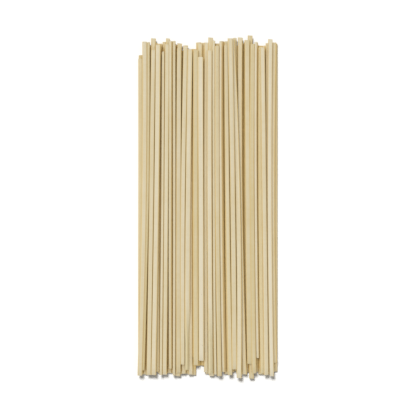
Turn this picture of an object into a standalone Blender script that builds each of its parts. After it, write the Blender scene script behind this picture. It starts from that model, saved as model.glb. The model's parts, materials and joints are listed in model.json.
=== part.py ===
"""A flat bundle of dried udon noodles, laid side by side in three layers.

The noodles run along Y with their heads at +Y. All sizes are in millimetres until a mesh is made.
"""
import math
import random
from collections import namedtuple

import bmesh
import bpy
import numpy
from mathutils import Matrix

MM = 0.001

# One noodle
NOODLE_WIDTH = 3.4
NOODLE_THICK = 2.0
SIZE_SPREAD = 0.05          # how far widths and thicknesses stray, as a share
END_SLANT = 0.35            # how far a cut end runs askew across its width
BOW_REACH = 118.0           # distance from the middle at which head_x and foot_x are read
SEGMENTS = 6                # straight pieces along one noodle

# The bundle
HALF_WIDTH = 49.7
FLAT, EDGE = "flat", "edge"  # lying on the wide face, or standing on the narrow one

# Bottom layer: lanes at one pitch, the middle one straight under the origin
BOTTOM_LANES = 29
BOTTOM_PITCH = 3.42
BOTTOM_HEAD = 116.3
BOTTOM_FOOT = -118.2
BOTTOM_RAGGED = 1.6
HEAD_DIPS = ((-50.0, -46.0, 6.5), (-19.0, -9.0, 5.0))  # from one x to another, lanes are this much shorter
FOOT_DIPS = ((-8.0, -2.0, 4.5),)

# How the layers lie on each other
SINK = 0.12                 # how deep a noodle beds into what carries it
SIDE_PLAY = 0.2             # neighbours may press this far into each other's sides
STATION_STEP = 10.0
COLUMN_STEP = 0.1

# The core that the noodles are fused to
CORE_HALF_WIDTH = 47.3
CORE_HALF_LENGTH = 104.0
CORE_BOTTOM = 0.7
CORE_TOP = 3.3

SEED = 31

Noodle = namedtuple("Noodle", "head_x mid_x foot_x head_y foot_y lies roll breadth")

# Second layer, from the left. The roll is in degrees, positive where the right side lifts, and breadth is
# a share of the usual width
SECOND_LAYER = (
    Noodle(-48.0, -48.0, -48.0, 105.4, -118.2, FLAT, 0, 0.98),
    Noodle(-42.4, -43.2, -46.0, 117.1, -116.0, EDGE, 0, 1.00),
    Noodle(-38.8, -40.5, -42.1, 120.0, -118.4, FLAT, 0, 0.98),
    Noodle(-35.5, -35.9, -36.2, 115.7, -117.2, FLAT, 0, 0.98),
    Noodle(-31.5, -32.2, -33.2, 110.4, -119.3, EDGE, 14, 1.00),
    Noodle(-28.5, -28.9, -30.6, 120.0, -118.4, FLAT, 0, 0.80),
    Noodle(-26.3, -26.6, -26.4, 117.9, -115.0, EDGE, 22, 1.00),
    Noodle(-24.0, -24.0, -24.1, 117.9, -119.6, EDGE, 0, 1.00),
    Noodle(-20.2, -21.4, -21.3, 116.4, -120.0, FLAT, 0, 0.98),
    Noodle(-15.8, -17.6, -17.3, 115.0, -118.6, FLAT, 0, 0.96),
    Noodle(-12.9, -12.9, -12.4, 112.2, -119.3, FLAT, 0, 0.95),
    Noodle(-9.0, -9.4, -9.1, 111.8, -107.0, FLAT, 0, 0.98),
    Noodle(-5.7, -5.7, -5.3, 116.4, -106.0, FLAT, 0, 0.98),
    Noodle(-1.1, -1.6, -1.3, 117.1, -117.6, FLAT, 0, 0.88),
    Noodle(1.8, 1.8, 2.5, 120.7, -120.3, FLAT, 0, 0.98),
    Noodle(4.1, 4.1, 5.3, 118.2, -118.9, EDGE, 0, 1.00),
    Noodle(6.8, 7.0, 8.2, 114.3, -118.4, FLAT, 0, 0.90),
    Noodle(9.6, 9.9, 11.6, 117.9, -117.1, EDGE, 36, 1.00),
    Noodle(13.3, 13.6, 15.1, 117.9, -117.4, FLAT, 0, 0.98),
    Noodle(16.4, 16.6, 18.3, 117.5, -113.0, FLAT, 0, 0.98),
    Noodle(19.1, 19.6, 21.5, 120.2, -118.4, FLAT, 0, 0.80),
    Noodle(22.9, 23.2, 26.1, 120.7, -119.0, FLAT, 12, 0.98),
    Noodle(30.0, 30.1, 30.9, 122.1, -122.1, FLAT, 0, 0.98),
    Noodle(34.3, 34.2, 35.9, 117.1, -107.2, EDGE, 18, 1.00),
    Noodle(37.4, 37.4, 38.9, 113.6, -118.2, FLAT, 0, 0.98),
    Noodle(42.8, 42.5, 42.8, 116.8, -118.4, FLAT, 0, 0.98),
    Noodle(47.0, 45.9, 47.7, 117.1, -110.8, FLAT, 12, 0.98),
)

# Top layer, from the left, with what lies over its neighbours after them
TOP_LAYER = (
    Noodle(-45.1, -45.6, -48.3, 117.1, -119.6, FLAT, 0, 0.97),
    Noodle(-38.8, -40.4, -42.1, 111.5, -119.3, FLAT, 1, 0.93),
    Noodle(-35.3, -36.6, -38.6, 115.0, -119.3, FLAT, 7, 1.04),
    Noodle(-29.0, -29.7, -30.8, 115.4, -118.9, FLAT, 1, 0.87),
    Noodle(-20.4, -21.0, -21.0, 112.9, -117.5, FLAT, -2, 0.96),
    Noodle(-12.6, -14.2, -14.8, 112.2, -115.7, FLAT, 0, 1.06),
    Noodle(-15.8, -17.8, -18.0, 113.6, -111.5, FLAT, 2, 0.92),
    Noodle(-8.7, -8.9, -8.7, 111.5, -112.2, FLAT, 0, 1.06),
    Noodle(-5.3, -5.1, -4.7, 106.1, -109.3, FLAT, 3, 1.12),
    Noodle(1.2, 1.2, 1.9, 111.1, -118.6, FLAT, 3, 0.98),
    Noodle(6.4, 6.6, 8.1, 114.3, -120.0, FLAT, -3, 0.91),
    Noodle(12.9, 13.9, 15.7, 115.0, -119.3, FLAT, 2, 0.90),
    Noodle(17.3, 21.5, 22.2, 119.3, -121.4, FLAT, 11, 1.00),
    Noodle(15.8, 17.6, 18.8, 119.3, -115.0, FLAT, -1, 1.03),
    Noodle(27.8, 28.3, 29.7, 118.6, -111.5, FLAT, -2, 1.08),
    Noodle(31.5, 31.4, 32.8, 115.7, -117.9, FLAT, -1, 0.91),
    Noodle(38.6, 40.0, 41.5, 113.2, -119.3, FLAT, 0, 0.94),
    Noodle(44.3, 43.9, 45.2, 119.3, -120.0, FLAT, 2, 0.89),
)


def dip(x, dips):
    """How much shorter a lane is than its neighbours."""
    return sum(depth for start, end, depth in dips if start < x < end)


def bottom_layer():
    """Straight lanes whose ends are ragged."""
    lanes = []
    for lane in range(BOTTOM_LANES):
        x = (lane - (BOTTOM_LANES - 1) / 2) * BOTTOM_PITCH
        head = BOTTOM_HEAD + random.uniform(-1, 1) * BOTTOM_RAGGED - dip(x, HEAD_DIPS)
        foot = BOTTOM_FOOT + random.uniform(-1, 1) * BOTTOM_RAGGED + dip(x, FOOT_DIPS)
        breadth = random.uniform(1 - SIZE_SPREAD, 1)
        lanes.append(Noodle(x, x, x, head, foot, FLAT, 0, breadth))
    return lanes


def centre_x(noodle, y):
    """The noodle's bow: a parabola through its head, middle and foot."""
    reach = y / BOW_REACH
    lean = (noodle.head_x - noodle.foot_x) / 2
    bow = (noodle.head_x + noodle.foot_x) / 2 - noodle.mid_x
    return noodle.mid_x + lean * reach + bow * reach * reach


def section_size(noodle):
    """Width and height of one noodle before it rolls; its thickness is a little uneven."""
    wide = NOODLE_WIDTH * noodle.breadth
    thick = NOODLE_THICK * random.uniform(1 - SIZE_SPREAD, 1 + SIZE_SPREAD)
    if noodle.lies == EDGE:
        return thick, wide
    return wide, thick


def crest(width, height, lean, offset):
    """How far a leaning section reaches above its centre, at places across it."""
    over_top = (height / 2 + offset * math.sin(lean)) / math.cos(lean)
    if lean == 0:
        return over_top
    side = math.copysign(1, lean)
    over_side = (width / 2 - side * offset * math.cos(lean)) / abs(math.sin(lean))
    return numpy.minimum(over_top, over_side)


def rest_line(places, needed):
    """The straight line over all needed heights that touches two of them, one each side of the middle."""
    middle = (places[0] + places[-1]) / 2
    for i in numpy.flatnonzero(places <= middle):
        for j in numpy.flatnonzero(places > middle):
            slope = (needed[j] - needed[i]) / (places[j] - places[i])
            line = needed[i] + slope * (places - places[i])
            if numpy.all(line >= needed - 1e-9):
                return slope, needed[i] - slope * places[i]
    raise ValueError("a noodle found nothing to rest on")


class Heap:
    """The heights that noodles have reached so far, at stations along Y and columns across X."""

    def __init__(self):
        self.stations = numpy.arange(-120.0, 121.0, STATION_STEP)
        self.columns = numpy.arange(-HALF_WIDTH, HALF_WIDTH, COLUMN_STEP)
        self.heights = numpy.zeros((len(self.stations), len(self.columns)))

    def lay(self, noodle):
        """Drop one noodle until it rests, and give its section and the line of its axis."""
        width, height = section_size(noodle)
        lean = math.radians(noodle.roll)
        half_width = (width * math.cos(lean) + height * abs(math.sin(lean))) / 2
        half_height = (height * math.cos(lean) + width * abs(math.sin(lean))) / 2
        reach = (self.stations >= noodle.foot_y) & (self.stations <= noodle.head_y)
        rows = numpy.flatnonzero(reach)
        across = [self.columns - centre_x(noodle, self.stations[row]) for row in rows]
        under = [abs(offset) < half_width - SIDE_PLAY for offset in across]
        needed = [numpy.max(self.heights[row, cols] + crest(width, height, lean, -offset[cols]))
                  for row, offset, cols in zip(rows, across, under)]
        slope, level = rest_line(self.stations[rows], numpy.array(needed))
        if level > half_height:
            level -= SINK
        for row, offset, cols in zip(rows, across, under):
            top = level + slope * self.stations[row] + crest(width, height, lean, offset[cols])
            self.heights[row, cols] = numpy.maximum(self.heights[row, cols], top)
        return width, height, slope, level


def bar(length_cuts):
    """A unit cube cut across into short lengths along Y."""
    shape = bmesh.new()
    bmesh.ops.create_cube(shape, size=1.0)
    long_edges = [edge for edge in shape.edges if abs(edge.verts[0].co.y - edge.verts[1].co.y) > 0.5]
    bmesh.ops.subdivide_edges(shape, edges=long_edges, cuts=length_cuts)
    return shape


def rolled_section(width, height, roll):
    """Turns a unit bar into one of this width and height, rolled about its length."""
    size = Matrix.Diagonal((width, 1.0, height, 1.0))
    return Matrix.Rotation(-math.radians(roll), 4, "Y") @ size


def noodle_mesh(noodle, width, height, slope, level):
    """A bar brought to the noodle's size, bow and resting line."""
    shape = bar(SEGMENTS - 1)
    slant = random.uniform(-1, 1) * END_SLANT
    length = noodle.head_y - noodle.foot_y
    shape.transform(rolled_section(width, height, noodle.roll))
    for vert in shape.verts:
        y = noodle.foot_y + (vert.co.y + 0.5) * length
        askew = slant * vert.co.x / width if abs(vert.co.y) > 0.499 else 0.0
        place = (centre_x(noodle, y) + vert.co.x, y + askew, level + slope * y + vert.co.z)
        vert.co = [value * MM for value in place]
    mesh = bpy.data.meshes.new("noodle")
    shape.to_mesh(mesh)
    shape.free()
    return mesh


def core_mesh():
    """The block inside the layers that joins all the noodles."""
    shape = bmesh.new()
    bmesh.ops.create_cube(shape, size=1.0)
    size = (2 * CORE_HALF_WIDTH, 2 * CORE_HALF_LENGTH, CORE_TOP - CORE_BOTTOM)
    bmesh.ops.scale(shape, vec=[value * MM for value in size], verts=shape.verts)
    lift = (CORE_TOP + CORE_BOTTOM) / 2 * MM
    bmesh.ops.translate(shape, vec=(0.0, 0.0, lift), verts=shape.verts)
    mesh = bpy.data.meshes.new("udon_noodles")
    shape.to_mesh(mesh)
    shape.free()
    return mesh


def laid_noodles(collection):
    """All three layers, laid from the bottom up, each noodle an object in the collection."""
    heap = Heap()
    for noodle in bottom_layer() + list(SECOND_LAYER) + list(TOP_LAYER):
        place = heap.lay(noodle)
        mesh = noodle_mesh(noodle, *place)
        collection.objects.link(bpy.data.objects.new("noodle", mesh))


def fuse(core, collection):
    """Join the core and the collection's noodles into one solid, and drop the loose noodles."""
    union = core.modifiers.new("fuse", "BOOLEAN")
    union.operation = "UNION"
    union.operand_type = "COLLECTION"
    union.collection = collection
    union.solver = "EXACT"
    bpy.context.view_layer.objects.active = core
    core.select_set(True)
    bpy.ops.object.modifier_apply(modifier=union.name)
    for loose in list(collection.objects):
        bpy.data.objects.remove(loose)
    bpy.data.collections.remove(collection)


def shells(shape):
    """The separate closed surfaces of a mesh, as sets of faces."""
    left = set(shape.faces)
    found = []
    while left:
        shell = set()
        edge_of_search = [left.pop()]
        while edge_of_search:
            face = edge_of_search.pop()
            shell.add(face)
            for edge in face.edges:
                for other in edge.link_faces:
                    if other in left:
                        left.remove(other)
                        edge_of_search.append(other)
        found.append(shell)
    return found


def keep_outer_shell(mesh):
    """Fill hollows that fusing sealed, and drop scraps, by keeping only the largest shell."""
    shape = bmesh.new()
    shape.from_mesh(mesh)
    spare = sorted(shells(shape), key=len)[:-1]
    unwanted = [face for shell in spare for face in shell]
    bmesh.ops.delete(shape, geom=unwanted, context="FACES")
    shape.to_mesh(mesh)
    shape.free()


def dried_noodle_material():
    """Matt cream dried dough."""
    material = bpy.data.materials.new("dried_noodle")
    material.use_nodes = True
    shader = material.node_tree.nodes["Principled BSDF"]
    shader.inputs["Base Color"].default_value = (0.72, 0.60, 0.38, 1.0)
    shader.inputs["Roughness"].default_value = 0.6
    shader.inputs["Metallic"].default_value = 0.0
    return material


def main():
    """Empty the scene and build the bundle."""
    for old in list(bpy.data.objects):
        bpy.data.objects.remove(old)
    random.seed(SEED)
    pile = bpy.data.collections.new("pile")
    bpy.context.scene.collection.children.link(pile)
    laid_noodles(pile)
    bundle = bpy.data.objects.new("udon_noodles", core_mesh())
    bpy.context.scene.collection.objects.link(bundle)
    fuse(bundle, pile)
    keep_outer_shell(bundle.data)
    bundle.data.materials.append(dried_noodle_material())


main()
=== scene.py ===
import json
import math
import random
from collections import namedtuple

import bmesh
import bpy
import numpy
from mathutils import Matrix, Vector

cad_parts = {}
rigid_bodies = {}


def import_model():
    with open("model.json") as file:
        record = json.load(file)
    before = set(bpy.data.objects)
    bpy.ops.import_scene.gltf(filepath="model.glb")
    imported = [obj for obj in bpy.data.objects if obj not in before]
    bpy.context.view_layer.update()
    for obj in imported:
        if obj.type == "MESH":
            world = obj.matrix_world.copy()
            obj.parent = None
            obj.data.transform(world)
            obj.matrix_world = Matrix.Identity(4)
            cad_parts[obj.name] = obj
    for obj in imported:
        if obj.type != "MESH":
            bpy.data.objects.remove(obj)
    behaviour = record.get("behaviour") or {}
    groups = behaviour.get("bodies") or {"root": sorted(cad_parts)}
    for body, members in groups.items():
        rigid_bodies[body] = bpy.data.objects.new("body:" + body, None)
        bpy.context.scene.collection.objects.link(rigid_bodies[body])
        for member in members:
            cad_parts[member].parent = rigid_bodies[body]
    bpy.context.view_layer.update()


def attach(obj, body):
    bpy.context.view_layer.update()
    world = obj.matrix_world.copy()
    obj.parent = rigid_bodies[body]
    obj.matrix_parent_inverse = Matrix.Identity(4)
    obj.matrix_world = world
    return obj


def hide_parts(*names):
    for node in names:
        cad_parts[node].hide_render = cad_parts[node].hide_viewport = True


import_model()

bl_info = {
    "name": "Dried udon bundle",
    "version": (1, 0, 0),
    "blender": (4, 5, 0),
    "location": "3D View > Sidebar > Udon",
    "description": "Lays a flat bundle of dried udon noodles in three layers and sets its stage",
    "category": "Add Mesh",
}

MM = 0.001
PICTURE_SIDE = 416          # width and height of the picture in pixels
PIXEL_SPAN = 0.71           # what each of them spans at the noodles' height, mm

# How the noodles lie, in millimetres: the same bundle as the solids
SIZE_SPREAD = 0.05          # how far widths and thicknesses stray, as a share
END_SLANT = 0.35            # how far a cut end runs askew across its width
BOW_REACH = 118.0           # distance from the middle at which head_x and foot_x are read
HALF_WIDTH = 49.7
BOTTOM_LANES = 29
BOTTOM_PITCH = 3.42         # from one lane to the next
BOTTOM_HEAD = 116.3         # where the lanes' heads end, along Y
BOTTOM_FOOT = -118.2        # and their feet
BOTTOM_RAGGED = 1.6         # how far each end strays from that
BOTTOM_TONE = 0.5           # tone and gold are as in the tables below
BOTTOM_GOLD = 0.5
SINK = 0.12                 # how deep a noodle beds into what carries it
SIDE_PLAY = 0.2             # neighbours may press this far into each other's sides
STATION_REACH = 120.0       # heights are noted from here behind the middle to here before it
STATION_STEP = 10.0
COLUMN_STEP = 0.1
TOUCH = 1e-9                # heights closer than this count as the same
LAYING_SEED = 31
FINISH_SEED = 7
FLAT, EDGE = "flat", "edge"  # lying on the wide face, or standing on the narrow one
BOTTOM, SECOND, TOP = range(3)  # the layers, from the bottom up

# Where the bottom lanes end short: from one x to another, and by how much
HEAD_DIPS = ((-50.0, -46.0, 6.5), (-19.0, -9.0, 5.0))
FOOT_DIPS = ((-8.0, -2.0, 4.5),)

Noodle = namedtuple("Noodle", "head_x mid_x foot_x head_y foot_y lies roll breadth tone gold curl",
                    defaults=(0,))
Laid = namedtuple("Laid", "noodle width height slope level slant")

# Second layer, from the left. The roll is in degrees, positive where the right side lifts, and breadth is
# a share of the usual width; tone runs from 0, tan, to 1, palest cream, gold from 0, grey, to 1 or more,
# and curl is how far the foot has rolled on, in degrees
SECOND_LAYER = (
    Noodle(-48.0, -48.0, -48.0, 105.4, -118.2, FLAT, 0, 0.98, 0.48, 0.85),
    Noodle(-42.4, -43.2, -46.0, 117.1, -116.0, EDGE, 0, 1.00, 0.15, 0.70),
    Noodle(-38.8, -40.5, -42.1, 120.0, -118.4, FLAT, 0, 0.98, 0.55, 0.50),
    Noodle(-35.5, -35.9, -36.2, 115.7, -117.2, FLAT, 0, 0.98, 0.50, 0.50),
    Noodle(-31.5, -32.2, -33.2, 110.4, -119.3, EDGE, 14, 1.00, 0.60, 0.55),
    Noodle(-28.5, -28.9, -30.6, 120.0, -118.4, FLAT, 0, 0.80, 0.45, 0.55),
    Noodle(-26.3, -26.6, -26.4, 117.9, -115.0, EDGE, 22, 1.00, 0.60, 0.55),
    Noodle(-24.0, -24.0, -24.1, 117.9, -119.6, EDGE, 0, 1.00, 0.62, 0.45),
    Noodle(-20.2, -21.4, -21.3, 116.4, -120.0, FLAT, 0, 0.98, 0.45, 0.35),
    Noodle(-15.8, -17.6, -17.3, 115.0, -118.6, FLAT, 0, 0.96, 0.55, 0.50),
    Noodle(-12.9, -12.9, -12.4, 112.2, -119.3, FLAT, 0, 0.95, 0.75, 0.35),
    Noodle(-9.0, -9.4, -9.1, 111.8, -107.0, FLAT, 0, 0.98, 0.40, 0.60),
    Noodle(-5.7, -5.7, -5.3, 116.4, -106.0, FLAT, 0, 0.98, 0.60, 0.50),
    Noodle(-1.1, -1.6, -1.3, 117.1, -117.6, FLAT, 0, 0.88, 0.80, 0.60),
    Noodle(1.8, 1.8, 2.5, 120.7, -120.3, FLAT, 0, 0.98, 0.60, 0.40),
    Noodle(4.1, 4.1, 5.3, 118.2, -118.9, EDGE, 0, 1.00, 0.58, 0.55),
    Noodle(6.8, 7.0, 8.2, 114.3, -118.4, FLAT, 0, 0.90, 0.45, 0.60),
    Noodle(9.6, 9.9, 11.6, 117.9, -117.1, EDGE, 36, 1.00, 0.62, 0.40),
    Noodle(13.3, 13.6, 15.1, 117.9, -117.4, FLAT, 0, 0.98, 0.50, 0.60),
    Noodle(16.4, 16.6, 18.3, 117.5, -113.0, FLAT, 0, 0.98, 0.50, 0.40),
    Noodle(19.1, 19.6, 21.5, 120.2, -118.4, FLAT, 0, 0.80, 0.55, 0.50),
    Noodle(22.9, 23.2, 26.1, 120.7, -119.0, FLAT, 12, 0.98, 0.60, 0.55),
    Noodle(30.0, 30.1, 30.9, 122.1, -122.1, FLAT, 0, 0.98, 0.40, 0.55),
    Noodle(34.3, 34.2, 35.9, 117.1, -107.2, EDGE, 18, 1.00, 0.80, 0.40),
    Noodle(37.4, 37.4, 38.9, 113.6, -118.2, FLAT, 0, 0.98, 0.95, 1.40),
    Noodle(42.8, 42.5, 42.8, 116.8, -118.4, FLAT, 0, 0.98, 0.45, 0.25),
    Noodle(47.0, 45.9, 47.7, 117.1, -110.8, FLAT, 12, 0.98, 0.38, 0.15),
)

# Top layer, from the left, with what lies over its neighbours after them
TOP_LAYER = (
    Noodle(-45.1, -45.6, -48.3, 117.1, -119.6, FLAT, 0, 0.97, 0.52, 0.45),
    Noodle(-38.8, -40.4, -42.1, 111.5, -119.3, FLAT, 1, 0.93, 0.53, 0.45),
    Noodle(-35.3, -36.6, -38.6, 115.0, -119.3, FLAT, 7, 1.04, 0.68, 0.45),
    Noodle(-29.0, -29.7, -30.8, 115.4, -118.9, FLAT, 1, 0.87, 0.62, 0.65),
    Noodle(-20.4, -21.0, -21.0, 112.9, -117.5, FLAT, -2, 0.96, 0.42, 0.20),
    Noodle(-12.6, -14.2, -14.8, 112.2, -115.7, FLAT, 0, 1.06, 0.70, 0.45, -65),
    Noodle(-15.8, -17.8, -18.0, 113.6, -111.5, FLAT, 2, 0.92, 0.62, 0.50),
    Noodle(-8.7, -8.9, -8.7, 111.5, -112.2, FLAT, 0, 1.06, 0.28, 0.60),
    Noodle(-5.3, -5.1, -4.7, 106.1, -109.3, FLAT, 3, 1.12, 0.95, 0.45),
    Noodle(1.2, 1.2, 1.9, 111.1, -118.6, FLAT, 3, 0.98, 0.78, 0.45, -45),
    Noodle(6.4, 6.6, 8.1, 114.3, -120.0, FLAT, -3, 0.91, 0.35, 0.40),
    Noodle(12.9, 13.9, 15.7, 115.0, -119.3, FLAT, 2, 0.90, 0.55, 0.75),
    Noodle(17.3, 21.5, 22.2, 119.3, -121.4, FLAT, 11, 1.00, 0.72, 0.65),
    Noodle(15.8, 17.6, 18.8, 119.3, -115.0, FLAT, -1, 1.03, 0.50, 0.35),
    Noodle(27.8, 28.3, 29.7, 118.6, -111.5, FLAT, -2, 1.08, 0.36, 0.40),
    Noodle(31.5, 31.4, 32.8, 115.7, -117.9, FLAT, -1, 0.91, 0.24, 0.60),
    Noodle(38.6, 40.0, 41.5, 113.2, -119.3, FLAT, 0, 0.94, 0.64, 0.45),
    Noodle(44.3, 43.9, 45.2, 119.3, -120.0, FLAT, 2, 0.89, 0.86, 0.45),
)


# ---- Settings ----


class UdonNoodleSettings(bpy.types.PropertyGroup):
    """Sizes and colours of one dried noodle."""

    width: bpy.props.FloatProperty(
        name="Width", description="Width of the wide face",
        default=0.0034, subtype="DISTANCE", unit="LENGTH")
    thickness: bpy.props.FloatProperty(
        name="Thickness", description="Width of the narrow face",
        default=0.0020, subtype="DISTANCE", unit="LENGTH")
    rounding: bpy.props.FloatProperty(
        name="Rounding", description="Radius of the long edges",
        default=0.00045, subtype="DISTANCE", unit="LENGTH")
    rim: bpy.props.FloatProperty(
        name="Cut rim", description="Softness of the cut ends' rims",
        default=0.0001, subtype="DISTANCE", unit="LENGTH")
    twist: bpy.props.FloatProperty(
        name="Twist", description="Most that a noodle turns about itself along its length",
        default=math.radians(5.0), subtype="ANGLE", unit="ROTATION")
    cream: bpy.props.FloatVectorProperty(
        name="Cream", description="The palest dried dough",
        default=(0.698, 0.652, 0.518), subtype="COLOR", size=3)
    # Painted shade: this golden colour stands in for the warm light bounced between the noodles onto their
    # shaded sides and into the deep gaps
    flank: bpy.props.FloatVectorProperty(
        name="Flank", description="The sides of the noodles, where the dough looks golden",
        default=(0.690, 0.488, 0.150), subtype="COLOR", size=3)
    tan: bpy.props.FloatVectorProperty(
        name="Tan", description="The deepest dried dough",
        default=(0.582, 0.490, 0.278), subtype="COLOR", size=3)
    fleck: bpy.props.FloatVectorProperty(
        name="Fleck", description="Specks of bran in the dough",
        default=(0.250, 0.150, 0.060), subtype="COLOR", size=3)
    roughness: bpy.props.FloatProperty(
        name="Roughness", description="Roughness of the dry surface",
        default=0.62, min=0.0, max=1.0, subtype="FACTOR")


class UdonStageSettings(bpy.types.PropertyGroup):
    """Floor, lights and camera."""

    floor_size: bpy.props.FloatProperty(
        name="Floor", description="Side of the square floor",
        default=60.0, subtype="DISTANCE", unit="LENGTH")
    floor_colour: bpy.props.FloatVectorProperty(
        name="Floor colour", description="Plain pale floor",
        default=(0.40, 0.40, 0.40), subtype="COLOR", size=3)
    key_strength: bpy.props.FloatProperty(
        name="Key", description="Strength of the soft key light on the noodles", default=1.08, min=0.0)
    key_softness: bpy.props.FloatProperty(
        name="Key softness", description="Angle that the key light fills",
        default=math.radians(35.0), subtype="ANGLE", unit="ROTATION")
    key_azimuth: bpy.props.FloatProperty(
        name="Key azimuth", description="Where the key light comes from, counted from +X",
        default=math.radians(135.0), subtype="ANGLE", unit="ROTATION")
    key_elevation: bpy.props.FloatProperty(
        name="Key elevation", description="Height of both key lights over the floor",
        default=math.radians(57.0), subtype="ANGLE", unit="ROTATION")
    floor_key: bpy.props.FloatProperty(
        name="Floor key", description="Strength of the key light on the floor alone", default=7.1, min=0.0)
    floor_softness: bpy.props.FloatProperty(
        name="Floor key softness", description="Angle that the floor's key light fills",
        default=math.radians(17.5), subtype="ANGLE", unit="ROTATION")
    floor_azimuth: bpy.props.FloatProperty(
        name="Floor key azimuth", description="Where the floor's key light comes from, counted from +X",
        default=math.radians(112.0), subtype="ANGLE", unit="ROTATION")
    fill_strength: bpy.props.FloatProperty(
        name="Fill", description="Strength of the light from all round", default=0.80, min=0.0)
    fill_colour: bpy.props.FloatVectorProperty(
        name="Fill colour", description="Tint of the light from all round",
        default=(1.0, 0.96, 0.88), subtype="COLOR", size=3)
    lens: bpy.props.FloatProperty(
        name="Lens", description="Focal length in millimetres",
        default=100.0, min=1.0, subtype="DISTANCE_CAMERA", unit="CAMERA")
    view_width: bpy.props.FloatProperty(
        name="View width", description="Width of what the camera sees at the noodles' height",
        default=PICTURE_SIDE * PIXEL_SPAN * MM, subtype="DISTANCE", unit="LENGTH")
    view_height: bpy.props.FloatProperty(
        name="View height", description="Height over the floor at which that width is read",
        default=0.0058, subtype="DISTANCE", unit="LENGTH")
    aim_y: bpy.props.FloatProperty(
        name="Aim", description="Where along the bundle the camera points",
        default=-0.0007, subtype="DISTANCE", unit="LENGTH")


# ---- How the noodles lie ----


def dip(x, dips):
    """How much shorter a lane is than its neighbours."""
    return sum(depth for start, end, depth in dips if start < x < end)


def bottom_layer():
    """Straight lanes whose ends are ragged."""
    lanes = []
    for lane in range(BOTTOM_LANES):
        x = (lane - (BOTTOM_LANES - 1) / 2) * BOTTOM_PITCH
        head = BOTTOM_HEAD + random.uniform(-1, 1) * BOTTOM_RAGGED - dip(x, HEAD_DIPS)
        foot = BOTTOM_FOOT + random.uniform(-1, 1) * BOTTOM_RAGGED + dip(x, FOOT_DIPS)
        breadth = random.uniform(1 - SIZE_SPREAD, 1)
        lanes.append(Noodle(x, x, x, head, foot, FLAT, 0, breadth, BOTTOM_TONE, BOTTOM_GOLD))
    return lanes


def centre_x(noodle, y):
    """The noodle's bow: a parabola through its head, middle and foot."""
    reach = y / BOW_REACH
    lean = (noodle.head_x - noodle.foot_x) / 2
    bow = (noodle.head_x + noodle.foot_x) / 2 - noodle.mid_x
    return noodle.mid_x + lean * reach + bow * reach * reach


def section_size(noodle, settings):
    """Width and height of one noodle before it rolls; its thickness is a little uneven."""
    wide = settings.width / MM * noodle.breadth
    thick = settings.thickness / MM * random.uniform(1 - SIZE_SPREAD, 1 + SIZE_SPREAD)
    if noodle.lies == EDGE:
        return thick, wide
    return wide, thick


def crest(width, height, lean, offset):
    """How far a leaning section reaches above its centre, at places across it."""
    over_top = (height / 2 + offset * math.sin(lean)) / math.cos(lean)
    if lean == 0:
        return over_top
    side = math.copysign(1, lean)
    over_side = (width / 2 - side * offset * math.cos(lean)) / abs(math.sin(lean))
    return numpy.minimum(over_top, over_side)


def rest_line(places, needed):
    """The straight line over all needed heights that touches two of them, one each side of the middle."""
    middle = (places[0] + places[-1]) / 2
    for i in numpy.flatnonzero(places <= middle):
        for j in numpy.flatnonzero(places > middle):
            slope = (needed[j] - needed[i]) / (places[j] - places[i])
            line = needed[i] + slope * (places - places[i])
            if numpy.all(line >= needed - TOUCH):
                return slope, needed[i] - slope * places[i]
    raise ValueError("a noodle found nothing to rest on")


class Heap:
    """The heights that noodles have reached so far, at stations along Y and columns across X."""

    def __init__(self):
        self.stations = numpy.arange(-STATION_REACH, STATION_REACH + STATION_STEP / 2, STATION_STEP)
        self.columns = numpy.arange(-HALF_WIDTH, HALF_WIDTH, COLUMN_STEP)
        self.heights = numpy.zeros((len(self.stations), len(self.columns)))

    def lay(self, noodle, settings):
        """Drop one noodle until it rests, and give its section and the line of its axis."""
        width, height = section_size(noodle, settings)
        lean = math.radians(noodle.roll)
        half_width = (width * math.cos(lean) + height * abs(math.sin(lean))) / 2
        half_height = (height * math.cos(lean) + width * abs(math.sin(lean))) / 2
        reach = (self.stations >= noodle.foot_y) & (self.stations <= noodle.head_y)
        rows = numpy.flatnonzero(reach)
        across = [self.columns - centre_x(noodle, self.stations[row]) for row in rows]
        under = [abs(offset) < half_width - SIDE_PLAY for offset in across]
        needed = [numpy.max(self.heights[row, cols] + crest(width, height, lean, -offset[cols]))
                  for row, offset, cols in zip(rows, across, under)]
        slope, level = rest_line(self.stations[rows], numpy.array(needed))
        if level > half_height:
            level -= SINK
        for row, offset, cols in zip(rows, across, under):
            top = level + slope * self.stations[row] + crest(width, height, lean, offset[cols])
            self.heights[row, cols] = numpy.maximum(self.heights[row, cols], top)
        slant = random.uniform(-1, 1) * END_SLANT
        return Laid(noodle, width, height, slope, level, slant)


def laid_bundle(settings):
    """All three layers, laid from the bottom up."""
    random.seed(LAYING_SEED)
    heap = Heap()
    layers = (bottom_layer(), SECOND_LAYER, TOP_LAYER)
    return [[heap.lay(noodle, settings) for noodle in layer] for layer in layers]


# ---- Making one noodle ----

ROUND_STEPS = 3             # faces round each long edge
FACE_CUTS = 3               # lengthwise cuts through the upper and lower faces, which bulge
FACE_SHARE = 0.8            # these cuts lie within this share of the width
CROWN = 0.16                # how far the upper and lower faces bulge, mm
LENGTH_CUTS = 36            # cuts across a noodle, along its length
LONG_EDGE = 1.0             # edges that reach further than this along a noodle are its long ones, mm
RIM_REACH = 0.01            # what lies this near an end is on the rim of its cut, mm
CUT_REACH = 0.001           # and this near, on the cut face itself
WANDER = 0.10               # how far a noodle strays sideways from its bow, mm
SWELL = 0.02                # how far its width comes and goes, as a share
WAVES = 3                   # sine waves in an uneven curve
WAVE_SIZES = (0.5, 1.0)     # least and most of a wave, before the later ones are made smaller
WAVE_PACES = (0.8, 1.2)     # least and most half turns of the first wave along a noodle
END_REACH = 2.0             # how far from an end a slanted cut draws the dough with it, mm
RAKE = 0.35                 # how far a cut leans back from foot to crest, mm
LONG_CUT = 1.1              # the same for the few hasty cuts
LONG_CUT_ODDS = 0.15        # how many cuts are hasty, as a share
CURL_STARTS = -65.0         # where along Y a foot starts to curl, mm
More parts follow.
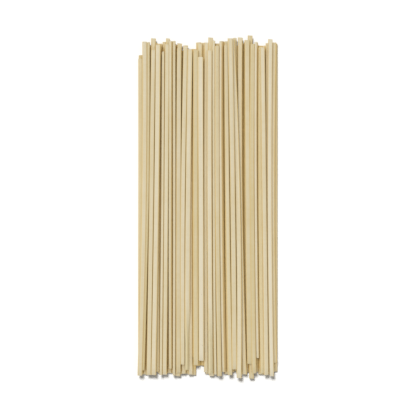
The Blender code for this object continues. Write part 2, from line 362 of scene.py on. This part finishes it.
CURL_ENDS = -95.0           # and where it has rolled all the way
SHARP_ANGLE = 50.0          # edges sharper than this aren't smoothed, degrees

# What a noodle's dough looks like from place to place, and the painted golden shade of its sides and of the
# deep gaps
GRAIN_SPREAD = 400.0        # how far apart the noodles' grains are read, mm
TONE_DRAW = 0.06            # how far a noodle's own tone is drawn from the listed one
TONE_SHIFT = 0.12           # how far its tone drifts along its length
FLAT_SIDE_SHADE = 0.75            # share of the painted golden shade on the narrow sides of a flat noodle
EDGE_SIDE_SHADE = 0.50            # and on the wide sides of a standing one
SIDE_SHADE_STARTS = 0.6          # how far out from the middle the painted golden shade of a side starts, as a share
OPEN_SIDE = 3.4             # within this far in from the bundle's sides the painted golden shade fades out, mm
OPEN_END = 3.0              # and this far in from its ends
GAP_SHADE_FADES = 4.6            # above this height, in mm, no painted golden shade is added
GAP_SHADE_FULL = 2.1             # and below this one the painted golden shade is at its fullest

# Attributes of each noodle's vertices that the material reads
FLOAT_MARKS = ("tone", "cut_end", "flank", "gold", "deep")
GRAIN_MARK = "grain_place"

Finish = namedtuple("Finish", "grain tone wander swell turn shade rakes")


def lengthwise(shape):
    """Edges that run along the noodle."""
    return [edge for edge in shape.edges
            if abs(edge.verts[0].co.y - edge.verts[1].co.y) > LONG_EDGE]


def rims(shape, length):
    """Edges round both cut ends."""
    return [edge for edge in shape.edges
            if all(abs(vert.co.y) > length / 2 - RIM_REACH for vert in edge.verts)]


def straight_noodle(laid, length, settings):
    """A bar with rounded long edges and soft rims, cut into short lengths to bend."""
    shape = bmesh.new()
    bmesh.ops.create_cube(shape, size=1.0)
    bmesh.ops.scale(shape, vec=(laid.width, length, laid.height), verts=shape.verts)
    bmesh.ops.bevel(shape, geom=lengthwise(shape), offset=settings.rounding / MM, segments=ROUND_STEPS,
                    profile=0.5, affect="EDGES", material=-1)
    for cut in range(FACE_CUTS):
        place = laid.width * ((cut + 1) / (FACE_CUTS + 1) - 0.5) * FACE_SHARE
        bmesh.ops.bisect_plane(shape, geom=shape.verts[:] + shape.edges[:] + shape.faces[:],
                               plane_co=(place, 0, 0), plane_no=(1, 0, 0))
    bmesh.ops.bevel(shape, geom=rims(shape, length), offset=settings.rim / MM, segments=1,
                    profile=0.5, affect="EDGES", material=-1)
    bmesh.ops.subdivide_edges(shape, edges=lengthwise(shape), cuts=LENGTH_CUTS)
    return shape


def waves(dice):
    """A smooth uneven curve over 0 to 1, within -1 to 1."""
    parts = [(dice.uniform(*WAVE_SIZES) / (step + 1), math.pi * (step + 1) * dice.uniform(*WAVE_PACES),
              dice.uniform(0, 2 * math.pi)) for step in range(WAVES)]
    total = sum(part[0] for part in parts)
    return lambda t: sum(size * math.sin(pace * t + start) for size, pace, start in parts) / total


def share(value, start, end):
    """How far a value has come from start to end, within 0 to 1."""
    return min(1.0, max(0.0, (value - start) / (end - start)))


def painted_gap_shade(x, y, z):
    """How much painted golden shade a place takes, standing for the warm light between the noodles: fully
    so only low down and far inside.
    """
    inside = share(HALF_WIDTH - abs(x), 0, OPEN_SIDE) * share(BOW_REACH - abs(y), 0, OPEN_END)
    return inside * share(z, GAP_SHADE_FADES, GAP_SHADE_FULL)


def drawn_finish(noodle, dice):
    """What sets one noodle apart from the next: its grain, tone, unevenness and cuts."""
    grain = Vector([dice.uniform(-GRAIN_SPREAD, GRAIN_SPREAD) for _ in range(3)])
    tone = noodle.tone + dice.uniform(-TONE_DRAW, TONE_DRAW)
    wander, swell, turn, shade = (waves(dice) for _ in range(4))
    rakes = [dice.uniform(-1, 1) * (LONG_CUT if dice.random() < LONG_CUT_ODDS else RAKE)
             for _ in range(2)]
    return Finish(grain, tone, wander, swell, turn, shade, rakes)


def dough_marks(place, laid, length, finish, curled):
    """Tone, cut face, gold and painted golden shade of the sides at a place on the straight noodle."""
    noodle = laid.noodle
    side_shade_share = EDGE_SIDE_SHADE if noodle.lies == EDGE else FLAT_SIDE_SHADE
    outwards = share(abs(2 * place.x / laid.width), SIDE_SHADE_STARTS, 1.0)
    return {
        "tone": finish.tone + TONE_SHIFT * finish.shade(place.y / length + 0.5),
        "cut_end": 1.0 if abs(place.y) > length / 2 - CUT_REACH else 0.0,
        # Painted shade: the sides take the golden colour that stands for light bounced into the gaps
        "flank": side_shade_share * (1 - curled) * outwards,
        "gold": noodle.gold + curled,
    }


def bent(place, laid, length, finish, curled, settings):
    """Where a place on the straight noodle lies once that is bulged, turned, cut askew and bowed, in mm."""
    noodle = laid.noodle
    across, along, up = place
    t = along / length + 0.5
    sideways = 2 * across / laid.width
    up *= 1 - 2 * CROWN / laid.height * sideways * sideways
    across *= 1 + SWELL * finish.swell(t)
    angle = math.radians(noodle.roll + noodle.curl * curled) + settings.twist * finish.turn(t)
    across, up = (across * math.cos(angle) - up * math.sin(angle),
                  up * math.cos(angle) + across * math.sin(angle))
    near_end = max(0.0, 1 - (length / 2 - abs(along)) / END_REACH)
    rake = finish.rakes[0] if along < 0 else finish.rakes[1]
    along += near_end * (laid.slant * across / laid.width + rake * up / laid.height)
    y = (noodle.foot_y + noodle.head_y) / 2 + along
    x = centre_x(noodle, y) + across + WANDER * finish.wander(t)
    return x, y, laid.level + laid.slope * y + up


def finished_noodle(laid, dice, settings):
    """One real noodle, bent and laid in place, with the marks that its material reads."""
    noodle = laid.noodle
    length = noodle.head_y - noodle.foot_y
    middle_y = (noodle.head_y + noodle.foot_y) / 2
    finish = drawn_finish(noodle, dice)
    shape = straight_noodle(laid, length, settings)
    marks = {name: shape.verts.layers.float.new(name) for name in FLOAT_MARKS}
    grain = shape.verts.layers.float_vector.new(GRAIN_MARK)
    for vert in shape.verts:
        curled = share(middle_y + vert.co.y, CURL_STARTS, CURL_ENDS) if noodle.curl else 0.0
        for name, value in dough_marks(vert.co, laid, length, finish, curled).items():
            vert[marks[name]] = value
        vert[grain] = finish.grain + vert.co
        x, y, z = bent(vert.co, laid, length, finish, curled, settings)
        # Painted shade: places low and deep inside the heap take a golden shade colour
        vert[marks["deep"]] = painted_gap_shade(x, y, z)
        vert.co = Vector((x, y, max(z, 0.0))) * MM
    return shape


def joined(name, level, settings):
    """One piece from the noodles of one layer."""
    dice = random.Random(FINISH_SEED + level)
    whole = bmesh.new()
    for laid in laid_bundle(settings)[level]:
        shape = finished_noodle(laid, dice, settings)
        spare = bpy.data.meshes.new("spare")
        shape.to_mesh(spare)
        shape.free()
        whole.from_mesh(spare)
        bpy.data.meshes.remove(spare)
    bmesh.ops.recalc_face_normals(whole, faces=whole.faces)
    mesh = bpy.data.meshes.new(name)
    whole.to_mesh(mesh)
    whole.free()
    mesh.shade_smooth()
    mesh.set_sharp_from_angle(angle=math.radians(SHARP_ANGLE))
    mesh.materials.append(shared_dough(settings))
    piece = bpy.data.objects.new(name, mesh)
    bpy.context.scene.collection.objects.link(piece)
    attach(piece, "root")
    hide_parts("udon_noodles")
    return piece


# ---- Materials ----

# A noise: how it is stretched across, along and up a noodle, its scale for each mm, its detail and
# roughness, and how much it counts in the dough's tone and in its relief
Noise = namedtuple("Noise", "stretch scale detail roughness shade relief")
STRIPES = Noise((1.0, 0.010, 1.0), 1.2, 4.0, 0.6, 0.9, 0.6)
FINE_STRIPES = Noise((1.0, 0.05, 1.0), 7.0, 3.0, 0.6, 0.35, 0.25)
BLOTCHES = Noise((0.25, 0.05, 0.25), 1.0, 2.0, 0.5, 0.5, 0.0)
RUNGS = Noise((0.12, 1.0, 0.12), 0.55, 2.0, 0.5, 0.35, 0.0)
PITS = Noise((1.0, 0.6, 1.0), 5.0, 2.0, 0.5, 0.0, 0.3)
SPECKS = Noise((1.0, 0.45, 1.0), 1.1, 1.0, 0.5, 0.0, 0.0)
NOISE_MIDDLE = 0.5          # noise lies evenly about this value

# What the dough's colour is multiplied by where gold is 0, and where it is 1
GREY_TINT = (1.0, 1.005, 1.06, 1.0)
GOLD_TINT = (1.0, 0.985, 0.92, 1.0)

GAP_SHADE_SHARE = 0.6            # how much of the painted golden shade colour the deepest places take
SPECK_STARTS = 0.80         # noise above this is the rim of a speck
SPECK_FULL = 0.84           # and above this its middle
SPECK_SHARE = 0.5           # how much of the fleck's colour a speck takes
CUT_PALER = 1.08            # how much paler than cream a cut face is
CUT_SHARE = 0.6             # and how much of that it takes
GLOSS_SPREAD = 0.2          # how far roughness strays with the fine stripes
DOUGH_SPECULAR = 0.35
RELIEF_STRENGTH = 0.35
RELIEF_DEPTH = 0.00006      # depth of the relief, m
FLOOR_ROUGHNESS = 0.9


class Wire:
    """A value socket whose operators add Math nodes."""

    def __init__(self, board, socket):
        self.board = board
        self.socket = socket

    def _maths(self, operation, first, second):
        return self.board.add("ShaderNodeMath", {"operation": operation}, {0: first, 1: second})

    def __add__(self, other):
        return self._maths("ADD", self, other)

    def __radd__(self, other):
        return self._maths("ADD", other, self)

    def __sub__(self, other):
        return self._maths("SUBTRACT", self, other)

    def __rsub__(self, other):
        return self._maths("SUBTRACT", other, self)

    def __mul__(self, other):
        return self._maths("MULTIPLY", self, other)

    def __rmul__(self, other):
        return self._maths("MULTIPLY", other, self)


class Board:
    """The node tree of one material."""

    def __init__(self, name):
        self.material = bpy.data.materials.new(name)
        self.material.use_nodes = True
        self.tree = self.material.node_tree
        self.shader = self.tree.nodes["Principled BSDF"]

    def add(self, kind, settings, inputs, output=0):
        """Add a node: its settings first, then its sockets' values or links; gives one output."""
        node = self.tree.nodes.new(kind)
        for name, value in settings.items():
            if name == "stops":
                self._set_stops(node.color_ramp, value)
            else:
                setattr(node, name, value)
        for name, value in inputs.items():
            self.feed(node.inputs[name], value)
        return Wire(self, node.outputs[output])

    def feed(self, socket, value):
        """Link a wire to a socket, or set the socket's own value."""
        if isinstance(value, Wire):
            self.tree.links.new(value.socket, socket)
        else:
            socket.default_value = value

    @staticmethod
    def _set_stops(ramp, stops):
        while len(ramp.elements) > 1:
            ramp.elements.remove(ramp.elements[-1])
        for index, (place, shade) in enumerate(stops):
            element = ramp.elements[0] if index == 0 else ramp.elements.new(place)
            element.position = place
            element.color = (shade, shade, shade, 1.0)

    def ramp(self, value, *stops):
        """A value through a ramp of (place, value) stops."""
        return self.add("ShaderNodeValToRGB", {"stops": stops}, {"Fac": value})

    def mix(self, factor, first, second, clamped=True):
        """One colour into another; the node's sockets 6 and 7 take colours, and its output 2 gives one."""
        settings = {"data_type": "RGBA", "clamp_factor": clamped}
        return self.add("ShaderNodeMix", settings, {0: factor, 6: first, 7: second}, 2)

    def times(self, first, second):
        """One colour times another, channel by channel."""
        return self.add("ShaderNodeVectorMath", {"operation": "MULTIPLY"}, {0: first, 1: second})

    def mark(self, name, output):
        """An attribute of the mesh; its output 1 is a vector and 2 a number."""
        return self.add("ShaderNodeAttribute", {"attribute_name": name}, {}, output)

    def noise(self, place, kind):
        """Noise of one kind over a place, from 0 to 1."""
        sockets = {"Vector": self.times(place, kind.stretch), "Scale": kind.scale,
                   "Detail": kind.detail, "Roughness": kind.roughness}
        return self.add("ShaderNodeTexNoise", {}, sockets)


def opaque(colour):
    """An RGBA colour from an RGB one."""
    return (colour[0], colour[1], colour[2], 1.0)


def warmed(board, colour, gold):
    """The colour turned greyer where gold is 0 and warmer where it is 1, or past that beyond 1."""
    return board.times(colour, board.mix(gold, GREY_TINT, GOLD_TINT, clamped=False))


def dried_dough(settings):
    """Matt cream dough: fine lengthwise grain, slow blotches, painted golden shade on the sides and deep
    inside, rare flecks, paler cuts.
    """
    board = Board("dried_dough")
    tone, cut, flank, gold, deep = (board.mark(name, 2) for name in FLOAT_MARKS)
    place = board.mark(GRAIN_MARK, 1)
    kinds = (STRIPES, FINE_STRIPES, BLOTCHES, RUNGS, PITS, SPECKS)
    stripes, fine, blotches, rungs, pits, specks = (board.noise(place, kind) for kind in kinds)

    shade = (tone + (stripes - NOISE_MIDDLE) * STRIPES.shade + (fine - NOISE_MIDDLE) * FINE_STRIPES.shade
             + (blotches - NOISE_MIDDLE) * BLOTCHES.shade + (rungs - NOISE_MIDDLE) * RUNGS.shade)
    ripeness = board.ramp(shade, (0.0, 0.0), (1.0, 1.0))
    dough = board.mix(ripeness, opaque(settings.tan), opaque(settings.cream))
    dough = warmed(board, dough, gold)
    # Painted shade: golden colour on the sides, standing for light bounced between the noodles
    dough = board.mix(flank, dough, opaque(settings.flank))
    # Painted shade: the deepest places take more of that golden colour
    dough = board.mix(deep * GAP_SHADE_SHARE, dough, opaque(settings.flank))
    fleck = board.ramp(specks, (SPECK_STARTS, 0.0), (SPECK_FULL, 1.0))
    dough = board.mix(fleck * SPECK_SHARE, dough, opaque(settings.fleck))
    pale = [min(1.0, channel * CUT_PALER) for channel in settings.cream]
    dough = board.mix(cut * CUT_SHARE, dough, opaque(pale))
    board.feed(board.shader.inputs["Base Color"], dough)

    roughness = settings.roughness + (fine - NOISE_MIDDLE) * GLOSS_SPREAD
    board.feed(board.shader.inputs["Roughness"], roughness)
    board.shader.inputs["Specular IOR Level"].default_value = DOUGH_SPECULAR
    relief = stripes * STRIPES.relief + fine * FINE_STRIPES.relief + pits * PITS.relief
    sockets = {"Strength": RELIEF_STRENGTH, "Distance": RELIEF_DEPTH, "Height": relief}
    board.feed(board.shader.inputs["Normal"], board.add("ShaderNodeBump", {}, sockets))
    return board.material


def plain_floor(settings):
    """A plain pale matt floor."""
    board = Board("plain_floor")
    board.shader.inputs["Base Color"].default_value = opaque(settings.floor_colour)
    board.shader.inputs["Roughness"].default_value = FLOOR_ROUGHNESS
    board.shader.inputs["Specular IOR Level"].default_value = 0.0
    return board.material


def shared_dough(settings):
    """The one material that all noodles share, made when it is first asked for."""
    return bpy.data.materials.get("dried_dough") or dried_dough(settings)


# ---- Operators ----


class UDON_OT_bottom_layer(bpy.types.Operator):
    """Lay the bottom layer of noodles"""

    bl_idname = "udon.bottom_layer"
    bl_label = "Bottom layer"

    def execute(self, context):
        joined("noodles_bottom", BOTTOM, context.scene.udon_noodle)
        return {"FINISHED"}


class UDON_OT_second_layer(bpy.types.Operator):
    """Lay the second layer of noodles"""

    bl_idname = "udon.second_layer"
    bl_label = "Second layer"

    def execute(self, context):
        joined("noodles_second", SECOND, context.scene.udon_noodle)
        return {"FINISHED"}


class UDON_OT_top_layer(bpy.types.Operator):
    """Lay the top layer of noodles"""

    bl_idname = "udon.top_layer"
    bl_label = "Top layer"

    def execute(self, context):
        joined("noodles_top", TOP, context.scene.udon_noodle)
        return {"FINISHED"}


def add_floor(settings):
    """A square floor under the bundle."""
    shape = bmesh.new()
    bmesh.ops.create_grid(shape, x_segments=1, y_segments=1, size=settings.floor_size / 2)
    mesh = bpy.data.meshes.new("floor")
    shape.to_mesh(mesh)
    shape.free()
    mesh.materials.append(plain_floor(settings))
    floor = bpy.data.objects.new("floor", mesh)
    bpy.context.scene.collection.objects.link(floor)
    return floor


def add_key(name, strength, softness, azimuth, elevation, lit):
    """A soft distant light that only some of the objects receive."""
    light = bpy.data.lights.new(name, "SUN")
    light.energy = strength
    light.angle = softness
    key = bpy.data.objects.new(name, light)
    flat = math.cos(elevation)
    towards = Vector((flat * math.cos(azimuth), flat * math.sin(azimuth), math.sin(elevation)))
    key.rotation_euler = towards.to_track_quat("Z", "Y").to_euler()
    bpy.context.scene.collection.objects.link(key)
    receivers = bpy.data.collections.new(name + "_lit")
    for target in lit:
        receivers.objects.link(target)
    key.light_linking.receiver_collection = receivers


def add_fill(settings):
    """Even, slightly warm light from all round."""
    world = bpy.data.worlds.new("studio")
    world.use_nodes = True
    background = world.node_tree.nodes["Background"]
    background.inputs["Color"].default_value = opaque(settings.fill_colour)
    background.inputs["Strength"].default_value = settings.fill_strength
    bpy.context.scene.world = world


def add_camera(settings):
    """A long lens that looks straight down."""
    lens = bpy.data.cameras.new("camera")
    lens.lens = settings.lens
    distance = settings.view_width * settings.lens / lens.sensor_width
    camera = bpy.data.objects.new("camera", lens)
    camera.location = (0.0, settings.aim_y, settings.view_height + distance)
    bpy.context.scene.collection.objects.link(camera)
    bpy.context.scene.camera = camera


class UDON_OT_stage(bpy.types.Operator):
    """Set the floor, the lights and the camera"""

    bl_idname = "udon.stage"
    bl_label = "Stage"

    def execute(self, context):
        settings = context.scene.udon_stage
        floor = add_floor(settings)
        noodles = [piece for piece in context.scene.objects if piece.name.startswith("noodles_")]
        add_key("key", settings.key_strength, settings.key_softness, settings.key_azimuth,
                settings.key_elevation, noodles)
        add_key("floor_key", settings.floor_key, settings.floor_softness, settings.floor_azimuth,
                settings.key_elevation, [floor])
        add_fill(settings)
        add_camera(settings)
        context.scene.view_settings.view_transform = "Standard"
        return {"FINISHED"}


OPERATORS = (UDON_OT_bottom_layer, UDON_OT_second_layer, UDON_OT_top_layer, UDON_OT_stage)


class UDON_PT_bundle(bpy.types.Panel):
    """The bundle's settings and steps in the sidebar"""

    bl_idname = "UDON_PT_bundle"
    bl_label = "Dried udon bundle"
    bl_space_type = "VIEW_3D"
    bl_region_type = "UI"
    bl_category = "Udon"

    def draw(self, context):
        layout = self.layout
        for settings in (context.scene.udon_noodle, context.scene.udon_stage):
            box = layout.box()
            for name in settings.__annotations__:
                box.prop(settings, name)
        for operator in OPERATORS:
            layout.operator(operator.bl_idname)


CLASSES = (UdonNoodleSettings, UdonStageSettings) + OPERATORS + (UDON_PT_bundle,)


def register():
    for cls in CLASSES:
        bpy.utils.register_class(cls)
    bpy.types.Scene.udon_noodle = bpy.props.PointerProperty(type=UdonNoodleSettings)
    bpy.types.Scene.udon_stage = bpy.props.PointerProperty(type=UdonStageSettings)


def unregister():
    del bpy.types.Scene.udon_stage
    del bpy.types.Scene.udon_noodle
    for cls in reversed(CLASSES):
        bpy.utils.unregister_class(cls)


def main():
    """Register, lay the bundle and set the stage."""
    register()
    bpy.ops.udon.bottom_layer()
    bpy.ops.udon.second_layer()
    bpy.ops.udon.top_layer()
    bpy.ops.udon.stage()


if __name__ == "__main__":
    main()
